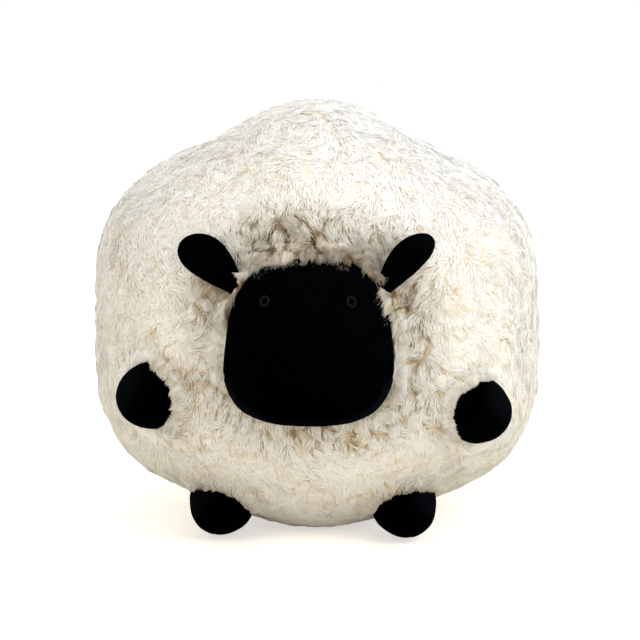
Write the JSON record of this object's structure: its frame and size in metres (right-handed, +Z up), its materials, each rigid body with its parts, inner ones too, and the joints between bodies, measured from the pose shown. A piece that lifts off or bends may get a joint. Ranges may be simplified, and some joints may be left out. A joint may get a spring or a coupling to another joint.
{
  "type": "sheep cushion",
  "caption": "Round stuffed sheep cushion: a gored pile-fabric ball with a black velvet head, sprung ears, arms and feet, standing on its flat base.",
  "frame": {"origin": "on the floor at the middle of the flat patch that the body rests on, under the body's middle", "axes": "+Z up, the sheep faces -Y, +X to the right as the viewer sees it from the front; left and right in the node names are the viewer's"},
  "size_m": [0.4416, 0.4378, 0.4171],
  "materials": {
    "fleece": "cream matted long-pile plush, tan in the crevices between its tufts",
    "black_velvet": "black short-pile velvet with a faint sheen at grazing angles",
    "eye_thread": "black satin-stitched embroidery thread, slightly glossier than the velvet",
    "filling": "white polyester fibre filling, matt"
  },
  "bodies": {
    "body": {"fleece_top_right": "fleece", "fleece_top_left": "fleece", "fleece_side_left": "fleece", "fleece_bottom_left": "fleece", "fleece_bottom_right": "fleece", "fleece_side_right": "fleece", "body_filling": "filling", "head_face_panel": "black_velvet", "head_chin_panel": "black_velvet", "head_filling": "filling", "eye_left_stitching": "eye_thread", "eye_right_stitching": "eye_thread"},
    "ear_left": {"ear_left_front_layer": "black_velvet", "ear_left_back_layer": "black_velvet"},
    "ear_right": {"ear_right_front_layer": "black_velvet", "ear_right_back_layer": "black_velvet"},
    "arm_left": {"arm_left_cover": "black_velvet", "arm_left_filling": "filling"},
    "arm_right": {"arm_right_cover": "black_velvet", "arm_right_filling": "filling"},
    "foot_left": {"foot_left_cover": "black_velvet", "foot_left_filling": "filling"},
    "foot_right": {"foot_right_cover": "black_velvet", "foot_right_filling": "filling"}
  },
  "joints": [
    {"name": "ear_left_flap", "type": "hinge", "parent": "body", "child": "ear_left", "pos_m": [-0.06929, -0.18054, 0.25553], "axis": [0.6428, 0, 0.766], "range_deg": [-10, 50], "stiffness_Nm_per_rad": 0.012},
    {"name": "ear_right_flap", "type": "hinge", "parent": "body", "child": "ear_right", "pos_m": [0.06929, -0.18438, 0.25553], "axis": [-0.6222, -0.6393, 0.4519], "range_deg": [-30, 20], "stiffness_Nm_per_rad": 0.012},
    {"name": "arm_left_swing", "type": "hinge", "parent": "body", "child": "arm_left", "pos_m": [-0.15027, -0.15607, 0.14698], "axis": [-0.6441, 0.7649, 0], "range_deg": [-18, 18], "stiffness_Nm_per_rad": 0.06},
    {"name": "arm_right_swing", "type": "hinge", "parent": "body", "child": "arm_right", "pos_m": [0.15529, -0.15154, 0.1347], "axis": [-0.6757, -0.7372, 0], "range_deg": [-18, 18], "stiffness_Nm_per_rad": 0.06},
    {"name": "foot_left_swing", "type": "hinge", "parent": "body", "child": "foot_left", "pos_m": [-0.0875, -0.11032, 0.03576], "axis": [-0.8708, 0.4916, 0], "range_deg": [-15, 20], "stiffness_Nm_per_rad": 0.06},
    {"name": "foot_right_swing", "type": "hinge", "parent": "body", "child": "foot_right", "pos_m": [0.0875, -0.11494, 0.03576], "axis": [-0.8708, -0.4916, 0], "range_deg": [-15, 20], "stiffness_Nm_per_rad": 0.06}
  ]
}
